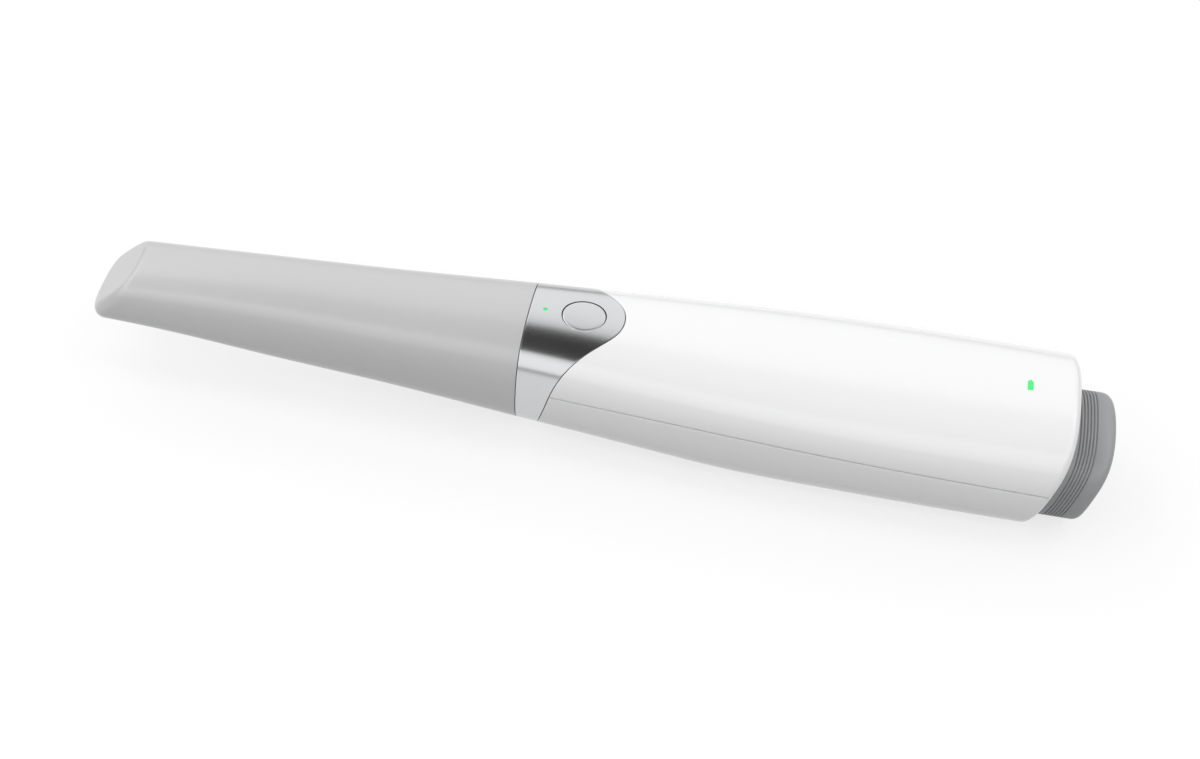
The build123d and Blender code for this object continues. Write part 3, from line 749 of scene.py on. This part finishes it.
@dataclass(frozen=True)
class TipSleeve:
    """Removable tip: satin sleeve with a slanted nose and the scanning window under it.

    Attributes:
        nose_top: where the nose's plane meets the height of the ridge.
        nose_span: places surely inside and outside the nose.
        window_share: how far up its cutter reaches, of the body height.
    """

    wall: float = 1.3
    nose_top: float = 16.65
    nose_slope: float = 43.7
    nose_round: float = 3.0
    nose_span: tuple[float, float] = (60.0, -8.0)
    window_start: float = 5.0
    window_length: float = 19.0
    window_width: float = 16.0
    window_corner: float = 3.0
    window_share: float = 0.4
    edge: float = 0.35
    rows: int = 70
    round_rows: int = 12
    facet_rows: int = 8
    around: int = 160

    def build(self) -> None:
        """Makes the sleeve."""
        v = np.linspace(0.0, 1.0, self.around + 1)
        nose = Cut(self.nose_top, 0.0, 90.0 - self.nose_slope, -1.0, *self.nose_span)
        radius = np.full_like(v, self.nose_round)
        front = FORM.contact(v, nose, radius)
        along = np.linspace(0.0, 1.0, self.rows)
        body = [FORM.point(TIP_LENGTH + (front - TIP_LENGTH) * t, v) for t in along]
        roll = FORM.roll(v, nose, radius, self.round_rows)
        rim = roll[-1]
        centre = rim[:-1].mean(axis=0)
        shares = np.linspace(1.0, 0.0, self.facet_rows + 1)[1:]
        facet = [centre + (rim - centre) * share for share in shares]
        rows = np.array(body + roll + facet)
        piece = sheet_object("tip_sleeve_skin", rows, closed=True, poles=(-1,))
        thicken(piece, self.wall)
        outline = round_outline(self.window_length, self.window_width, self.window_corner)
        outline[:, 0] += self.window_start + self.window_length / 2
        top = -BODY_HEIGHT * self.window_share
        carve(piece, [prism("window_cutter", outline, -BODY_HEIGHT, top)])
        soften(piece, self.edge)
        dress(piece, "tip", Body.TIP, "tip_sleeve")


@dataclass(frozen=True)
class Collar:
    """Polished collar with its tongue, the button in it and the small light ahead of it.

    Attributes:
        button_place, status_place: places of button and small light from the tip's end.
        button_drop: height of the button's side.
        skirt: where that side has a row of its own.
    """

    gap: float = 0.25
    wall: float = 1.95
    edge: float = 0.3
    button_place: float = 15.1
    button_radius: float = 5.95
    button_gap: float = 0.22
    button_drop: float = 2.2
    button_edge: float = 0.35
    button_rows: int = 14
    button_round_rows: int = 5
    button_segments: int = 96
    skirt: float = 0.4
    status_place: float = 4.4
    status_radius: float = 0.6
    status_segments: int = 32
    rows: int = 60
    around: int = 200

    def build(self) -> None:
        """Makes the collar and the button."""
        v = np.linspace(0.0, 1.0, self.around + 1)
        back = SEAMS.place(v, 0.0)
        front = TIP_LENGTH + self.gap
        along = np.linspace(0.0, 1.0, self.rows)
        rows = np.array([FORM.point(front + (back - front) * t, v) for t in along])
        piece = sheet_object("collar_skin", rows, closed=True)
        thicken(piece, self.wall)
        button_x, status_x = TIP_LENGTH + self.button_place, TIP_LENGTH + self.status_place
        cutters = []
        for name, x, radius, segments in (
            ("button_cutter", button_x, self.button_radius + self.button_gap, self.button_segments),
            ("status_cutter", status_x, self.status_radius, self.status_segments),
        ):
            cutters.append(prism(name, round_dot(x, 0.0, radius, segments), *HOLE_HEIGHTS))
        carve(piece, cutters)
        soften(piece, self.edge)
        dress(piece, "collar", Body.HANDLE, "collar")
        self._button(button_x)

    def _button(self, x: float) -> None:
        """Makes the button's cap, whose face follows the tongue.

        Args:
            x: place of the button along the body.
        """
        angle = np.linspace(0.0, math.tau, self.button_segments + 1)
        edge, radius = self.button_edge, self.button_radius
        flat = radius - edge
        turns = np.linspace(0.0, math.pi / 2, self.button_round_rows + 1)[1:]
        steps = [(reach, 0.0) for reach in np.linspace(0.0, flat, self.button_rows)]
        steps += [(flat + edge * math.sin(turn), edge * (1 - math.cos(turn))) for turn in turns]
        steps += [(radius, edge + drop) for drop in (self.skirt, self.button_drop)]
        steps += [(0.0, edge + self.button_drop)]
        rows = []
        for reach, drop in steps:
            px, py = x + reach * np.cos(angle), reach * np.sin(angle)
            rows.append(np.column_stack([px, py, FORM.height(px, py, RIDGE) - drop]))
        piece = sheet_object("button_face", np.array(rows), closed=True, poles=(0, -1))
        dress(piece, "button", Body.BUTTON, "button_cap")


@dataclass(frozen=True)
class Grip:
    """Grooved end of the battery pack.

    Attributes:
        depth: depth of its middle below the ridge.
        corner: how square its section is.
        pitch: distance from one groove to the next.
        setback: place of the last groove ahead of the end.
        neck, front: where the smooth stretch ends and starts, ahead of the end.
        reach: how far its end stands out at the sides.
        bow: how much further it stands out in the middle.
    """

    half_width: float = 18.8
    half_height: float = 12.9
    depth: float = 22.0
    corner: float = 0.78
    slope: float = 15.6
    end_round: float = 2.0
    grooves: int = 6
    pitch: float = 0.88
    groove: float = 0.42
    groove_depth: float = 0.45
    groove_lip: float = 0.08
    setback: float = 4.4
    neck: float = 10.2
    front: float = 16.6
    reach: float = 0.4
    bow: float = 1.0
    front_rows: int = 4
    round_rows: int = 8
    around: int = 160

    def ring(self, v: Array, margin: float) -> tuple[Array, Array]:
        """Section of the grip.

        Args:
            v: places round the section, as on the body.
            margin: how far it is grown.

        Returns:
            Points across the body, and their outward directions.
        """
        side, upper, t = quarters(v)
        up = np.where(upper, 1.0, -1.0)
        s = 1.0 - t
        y = (3 * s * s * t * self.corner + 3 * s * t * t + t**3) * self.half_width
        z = (s**3 + 3 * s * s * t + 3 * s * t * t * self.corner) * self.half_height
        first, second = s * s - 2 * s * t, 2 * s * t - t * t
        dy = 3 * (first * self.corner + second + t * t) * self.half_width
        dz = 3 * (first - s * s + second * self.corner) * self.half_height
        size = np.hypot(dy, dz)
        out = np.column_stack([side * -dz / size, up * dy / size])
        return np.column_stack([side * y, up * z - self.depth]) + margin * out, out

    def end_plane(self, setback: float) -> Cut:
        """Plane of the end face, set in along the body."""
        top = -self.depth + self.half_height - self.end_round
        return Cut(BODY_LENGTH - setback, top, self.slope)

    def build(self) -> None:
        """Makes the grip."""
        v = np.linspace(0.0, 1.0, self.around + 1)
        smooth = np.linspace(self.front, self.neck, self.front_rows)
        steps = [(setback, 0.0) for setback in smooth]
        lip, deep = self.groove_lip, self.groove_depth
        wall = [(lip, 0.0), (0.0, lip / 2), (0.0, deep - lip), (-lip, deep)]
        for i in reversed(range(self.grooves)):
            back = self.setback + i * self.pitch
            ahead = back + self.groove
            steps += [(ahead + shift, depth) for shift, depth in wall]
            steps += [(back - shift, depth) for shift, depth in reversed(wall)]
        rows = []
        ring, out = self.ring(v, 0.0)
        for setback, depth in steps:
            across = ring - depth * out
            x = self.end_plane(setback).place(across[:, 1])
            rows.append(np.column_stack([x, across]))
        rows += self._end_rows(ring, out)
        rows = [self._bowed(row) for row in rows]
        first = rows[0]
        centre = first[:-1].mean(axis=0)
        rows = [centre + (first - centre) * share for share in (0.0, 0.5)] + rows
        piece = sheet_object("battery_grip_skin", np.array(rows), closed=True, poles=(0, -1))
        dress(piece, "grip", Body.BATTERY, "battery_grip")

    def _bowed(self, points: Array) -> Array:
        """Bows the end face outwards, as the moulding is, behind the last groove.

        Args:
            points: points of the grip.

        Returns:
            The moved points.
        """
        behind = points[:, 0] - self.end_plane(self.setback).place(points[:, 2])
        share = np.clip(behind / self.setback, 0.0, 1.0)
        bow = self.reach + self.bow * (1.0 - (points[:, 1] / self.half_width) ** 2)
        return points + np.column_stack([share * bow, np.zeros((len(points), 2))])

    def _end_rows(self, ring: Array, out: Array) -> list[Array]:
        """Rounded edge and face of the end.

        Args:
            ring: section of the grip.
            out: its outward directions.

        Returns:
            Rows of points up to the middle of the face.
        """
        plane = self.end_plane(0.0)
        radius = self.end_round
        across = ring - radius * out
        lean = math.radians(self.slope)
        x = plane.place(across[:, 1]) - radius / math.cos(lean)
        centre = np.column_stack([x, across])
        start = np.column_stack([np.zeros(len(out)), out])
        rows = arc_rows(centre, start, plane.out, radius, self.round_rows)
        rim = rows[-1]
        middle = rim[:-1].mean(axis=0)
        return rows + [middle + (rim - middle) * share for share in (0.75, 0.5, 0.25, 0.0)]


GRIP = Grip()


@dataclass(frozen=True)
class Housing:
    """White housing: two shells that meet along the sides, with a battery light in the upper one.

    Attributes:
        parting: half the gap between the shells, as a share of the way round the section.
        tail_place: place of the cut tail at tail_depth.
        tail_span: places surely inside and outside the tail.
        round_share: most that the tail's edge may take of the room beside the opening.
        opening_gap: gap round the grip.
        nub: length of the battery light's nub.
        well_depth: depth of the screws' seats below the ridge.
    """

    gap: float = 0.25
    wall: float = 1.6
    edge: float = 0.14
    parting: float = 0.0013
    tail_place: float = 267.5
    tail_depth: float = 16.2
    tail_slope: float = 17.2
    tail_span: tuple[float, float] = (200.0, 289.0)
    tail_round: float = 2.4
    round_share: float = 0.7
    opening_gap: float = 0.3
    light_place: float = 257.65
    light_length: float = 1.5
    light_width: float = 3.6
    nub_width: float = 0.6
    nub: float = 0.45
    light_gap: float = 0.04
    well_place: float = 170.0
    well_side: float = 14.3
    well_radius: float = 2.2
    well_wall: float = 0.6
    well_depth: float = 26.0
    screw_radius: float = 1.15
    well_segments: int = 40
    rows: int = 130
    round_rows: int = 9
    face_rows: int = 7
    around: int = 90

    def build(self) -> None:
        """Makes both shells."""
        upper = self._shell("upper_shell_skin", Half.UPPER)
        carve(upper, [prism("light_cutter", self._light_outline(), *HOLE_HEIGHTS)])
        lower = self._shell("lower_shell_skin", Half.LOWER)
        low = -BODY_HEIGHT - self.wall
        cutters = []
        for side in (-1, 1):
            outline = round_dot(
                self.well_place, side * self.well_side, self.well_radius, self.well_segments
            )
            cutters.append(prism("well_cutter", outline, low, -self.well_depth))
        carve(lower, cutters)
        for side, name in ((-1, "near_screw_well"), (1, "far_screw_well")):
            dress(self._well_piece(name, side), "housing_lower", Body.HANDLE)
        for piece, slot, node in (
            (upper, "housing", "upper_shell"),
            # the lower shell takes the darker copy of the housing white, which is painted shade
            (lower, "housing_lower", "lower_shell"),
        ):
            soften(piece, self.edge)
            dress(piece, slot, Body.HANDLE, node)

    def _shell(self, name: str, half: Half) -> bpy.types.Object:
        """Makes one shell with its half of the tail.

        Args:
            name: name of the piece.
            half: half of the section that it covers.

        Returns:
            The new object.
        """
        first, last = half.value
        v = np.linspace(first + self.parting, last - self.parting, self.around + 1)
        tail = Cut(self.tail_place, -self.tail_depth, self.tail_slope, 1.0, *self.tail_span)
        hole = GRIP.ring(v, self.opening_gap)[0]
        edge = np.column_stack([tail.place(hole[:, 1]), hole])
        near = FORM.point(tail.place(hole[:, 1]), v)
        room = np.linalg.norm(near[:, 1:] - hole, axis=1)
        radius = np.minimum(self.tail_round, self.round_share * room)
        back = FORM.contact(v, tail, radius)
        front = SEAMS.place(v, self.gap)
        along = np.linspace(0.0, 1.0, self.rows)
        body = [FORM.point(front + (back - front) * t, v) for t in along]
        roll = FORM.roll(v, tail, radius, self.round_rows)
        shares = np.linspace(0.0, 1.0, self.face_rows + 1)[1:]
        face = [roll[-1] + (edge - roll[-1]) * share for share in shares]
        piece = sheet_object(name, np.array(body + roll + face))
        thicken(piece, self.wall)
        return piece

    def _well_piece(self, name: str, side: float) -> bpy.types.Object:
        """Makes the tube and seat that a housing screw is sunk in.

        Args:
            name: name of the piece.
            side: 1 on the +Y side, -1 on the other.

        Returns:
            The new object.
        """
        outer = self.well_radius + self.well_wall
        y = self.well_side + np.array([-outer, outer])
        foot = FORM.height(np.full_like(y, self.well_place), y, KEEL)
        low = foot.max() + self.well_wall
        seat = -self.well_depth
        rings = [
            (self.well_radius, low),
            (outer, low),
            (outer, seat + self.well_wall),
            (self.screw_radius, seat + self.well_wall),
            (self.screw_radius, seat),
            (self.well_radius, seat),
            (self.well_radius, low),
        ]
        rows = []
        for radius, z in rings:
            middle = side * self.well_side
            ring = round_dot(self.well_place, middle, radius, self.well_segments)
            ring = np.vstack([ring, ring[:1]])
            rows.append(np.column_stack([ring, np.full(len(ring), z)]))
        piece = sheet_object(name, np.array(rows), closed=True, wrapped=True)
        soften(piece, self.edge)
        return piece

    def _light_outline(self) -> Array:
        """Outline of the battery light's window, turning from +X towards +Y."""
        half, wide = self.light_length / 2 + self.light_gap, self.light_width / 2 + self.light_gap
        tip, high = self.nub_width / 2 + self.light_gap, wide + self.nub
        corners = [(half, 0), (half, wide), (tip, wide), (tip, high), (-tip, high), (-tip, wide)]
        corners += [(-half, wide), (-half, 0), (-half, -wide), (half, -wide)]
        return np.array(corners) + [self.light_place, 0.0]


@dataclass(frozen=True)
class InnerPieces:
    """Pieces of the frame that show once tip or battery pack is pulled off.

    Attributes:
        smooth: nodes that get a smooth copy, and their bodies.
    """

    smooth: tuple[tuple[str, Body], ...] = (
        ("optical_snout", Body.HANDLE),
        ("snout_seal", Body.HANDLE),
        ("battery_bay", Body.HANDLE),
        ("battery_case", Body.BATTERY),
        ("battery_seal", Body.BATTERY),
    )
    merge_distance: float = 0.001
    flat_angle: float = 1.0
    sharp_angle: float = 35.0

    def build(self) -> None:
        """Dresses every node, and makes smooth copies of the ones that show."""
        slots = {part["node"]: part["material_slot"] for part in frame["record"]["subparts"]}
        for name, node in frame["nodes"].items():
            if not node.material_slots:
                node.data.materials.append(None)
            for holder in node.material_slots:
                holder.material = material_of(slots[name])
        for name, body in self.smooth:
            dress(self._copy(name), slots[name], body, name)

    def _copy(self, name: str) -> bpy.types.Object:
        """Copies a node with its faces joined and shaded smooth, keeping its sharp edges.

        Args:
            name: the node.

        Returns:
            The new object.
        """
        mesh_data = bmesh.new()
        mesh_data.from_mesh(frame["nodes"][name].data)
        bmesh.ops.remove_doubles(mesh_data, verts=mesh_data.verts, dist=self.merge_distance * MM)
        bmesh.ops.dissolve_limit(
            mesh_data,
            angle_limit=math.radians(self.flat_angle),
            verts=mesh_data.verts,
            edges=mesh_data.edges,
        )
        for face in mesh_data.faces:
            face.smooth = True
        for edge in mesh_data.edges:
            edge.smooth = edge.calc_face_angle(0.0) < math.radians(self.sharp_angle)
        return as_object(name + "_skin", mesh_data)


def grey(level: float) -> tuple[float, float, float, float]:
    """Opaque grey of a linear level."""
    return level, level, level, 1.0


@dataclass(frozen=True)
class SoftBox:
    """Soft box that faces the scanner.

    Attributes:
        name: name of the light.
        place: its place.
        size: its width and height.
        power: its power in watts.
        mirrored: whether the glossy pieces mirror it.
        target: height that it faces.
    """

    name: str
    place: tuple[float, float, float]
    size: tuple[float, float]
    power: float
    mirrored: bool = True
    target: float = 0.02

    def build(self) -> None:
        """Adds the light."""
        lamp = bpy.data.lights.new(self.name, "AREA")
        lamp.shape = "RECTANGLE"
        lamp.size, lamp.size_y = self.size
        lamp.energy = self.power
        holder = bpy.data.objects.new(self.name, lamp)
        holder.location = self.place
        holder.visible_camera = False
        holder.visible_glossy = self.mirrored
        aim = Vector((0.0, 0.0, self.target)) - Vector(self.place)
        holder.rotation_euler = aim.to_track_quat("-Z", "Y").to_euler()
        bpy.context.scene.collection.objects.link(holder)


@dataclass(frozen=True)
class Studio:
    """Pale floor, soft lights and the camera of the photograph.

    Attributes:
        floor_grey: colour of the floor that camera, gloss and glass see.
        bounce_grey: its colour for all other light.
        floor_glow: share of its white that shines by itself.
        ceiling_edge: heights between which the walls turn into the ceiling.
        eye: place of the camera, in the frame's millimetres.
        right, up, back: the camera's axes.
    """

    floor_size: float = 8.0
    floor_grey: float = 0.92
    bounce_grey: float = 0.22
    floor_glow: float = 0.72
    floor_roughness: float = 0.9
    wall_grey: float = 0.35
    ceiling_grey: float = 0.03
    ceiling_edge: tuple[float, float] = (0.7, 0.88)
    eye: tuple[float, float, float] = (54.5, -485.3, 466.4)
    right: tuple[float, float, float] = (0.9846, 0.1642, 0.0606)
    up: tuple[float, float, float] = (-0.1558, 0.6645, 0.7310)
    back: tuple[float, float, float] = (0.0797, -0.7291, 0.6798)
    lens: float = 72.0
    sensor: float = 36.0
    near: float = 0.01
    lights: tuple[SoftBox, ...] = (
        SoftBox("back_softbox", (0.0, 1.16, 0.78), (2.6, 1.25), 8.8),
        SoftBox("front_softbox", (0.0, -1.118, 0.843), (2.6, 1.43), 11.0),
        SoftBox("nose_softbox", (-0.97, 0.0, 0.87), (2.0, 1.05), 9.4),
        SoftBox("tail_softbox", (0.97, 0.0, 0.87), (2.0, 1.05), 6.0),
        SoftBox("ceiling_glow", (0.0, 0.0, 1.3), (1.6, 0.5), 3.4, mirrored=False),
    )

    def build(self) -> None:
        """Makes floor, world, lights and camera."""
        self._floor()
        self._world()
        for light in self.lights:
            light.build()
        self._camera()

    def _floor(self) -> None:
        """Makes the floor that the scanner rests on."""
        mesh_data = bmesh.new()
        bmesh.ops.create_grid(mesh_data, x_segments=1, y_segments=1, size=self.floor_size / 2)
        floor = as_object("floor", mesh_data)
        floor.data.materials.append(self._floor_material())

    def _floor_material(self) -> bpy.types.Material:
        """Makes the floor's material.

        Returns:
            A pale ground that camera, gloss and glass see near white, with the shadow kept, and
            that throws back little light.
        """
        material = bpy.data.materials.new("pale_floor")
        material.use_nodes = True
        tree = material.node_tree
        nodes, links = tree.nodes, tree.links
        bounce = nodes["Principled BSDF"]
        shown = nodes.new("ShaderNodeBsdfDiffuse")
        bounce.inputs["Base Color"].default_value = grey(self.bounce_grey)
        bounce.inputs["Roughness"].default_value = self.floor_roughness
        shown.inputs["Color"].default_value = grey(self.floor_grey)
        glow = nodes.new("ShaderNodeEmission")
        white = nodes.new("ShaderNodeMixShader")
        white.inputs["Fac"].default_value = self.floor_glow
        links.new(shown.outputs["BSDF"], white.inputs[1])
        links.new(glow.outputs["Emission"], white.inputs[2])
        path = nodes.new("ShaderNodeLightPath")
        seen = path.outputs["Is Camera Ray"]
        for ray in ("Is Glossy Ray", "Is Transmission Ray"):
            either = nodes.new("ShaderNodeMath")
            either.operation = "MAXIMUM"
            links.new(seen, either.inputs[0])
            links.new(path.outputs[ray], either.inputs[1])
            seen = either.outputs["Value"]
        mix = nodes.new("ShaderNodeMixShader")
        links.new(seen, mix.inputs["Fac"])
        links.new(bounce.outputs["BSDF"], mix.inputs[1])
        links.new(white.outputs["Shader"], mix.inputs[2])
        links.new(mix.outputs["Shader"], nodes["Material Output"].inputs["Surface"])
        return material

    def _world(self) -> None:
        """Sets pale walls under a dark ceiling for the light, and a white backdrop."""
        world = bpy.data.worlds.new("studio")
        bpy.context.scene.world = world
        world.use_nodes = True
        nodes, links = world.node_tree.nodes, world.node_tree.links
        direction = nodes.new("ShaderNodeTexCoord")
        height = nodes.new("ShaderNodeSeparateXYZ")
        ramp = nodes.new("ShaderNodeValToRGB")
        walls, ceiling = ramp.color_ramp.elements
        walls.position, ceiling.position = self.ceiling_edge
        walls.color = grey(self.wall_grey)
        ceiling.color = grey(self.ceiling_grey)
        links.new(direction.outputs["Generated"], height.inputs["Vector"])
        links.new(height.outputs["Z"], ramp.inputs["Fac"])
        path = nodes.new("ShaderNodeLightPath")
        backdrop = nodes.new("ShaderNodeMixRGB")
        backdrop.inputs["Color2"].default_value = grey(1.0)
        links.new(path.outputs["Is Camera Ray"], backdrop.inputs["Fac"])
        links.new(ramp.outputs["Color"], backdrop.inputs["Color1"])
        links.new(backdrop.outputs["Color"], nodes["Background"].inputs["Color"])

    def _camera(self) -> None:
        """Sets the camera at the photograph's angle."""
        lens = bpy.data.cameras.new("camera")
        lens.lens = self.lens
        lens.sensor_width = self.sensor
        lens.sensor_fit = "HORIZONTAL"
        lens.clip_start = self.near
        holder = bpy.data.objects.new("camera", lens)
        axes = Matrix((self.right, self.up, self.back)).transposed()
        holder.matrix_world = Matrix.Translation(Vector(self.eye) * MM) @ axes.to_4x4()
        bpy.context.scene.collection.objects.link(holder)
        bpy.context.scene.camera = holder


def main() -> None:
    """Builds the studio and every piece."""
    logging.basicConfig(level=logging.INFO, format="%(name)s: %(message)s")
    bpy.context.scene.view_settings.view_transform = "Standard"
    Studio().build()
    TipSleeve().build()
    Collar().build()
    Housing().build()
    GRIP.build()
    InnerPieces().build()


if __name__ == "__main__":
    main()
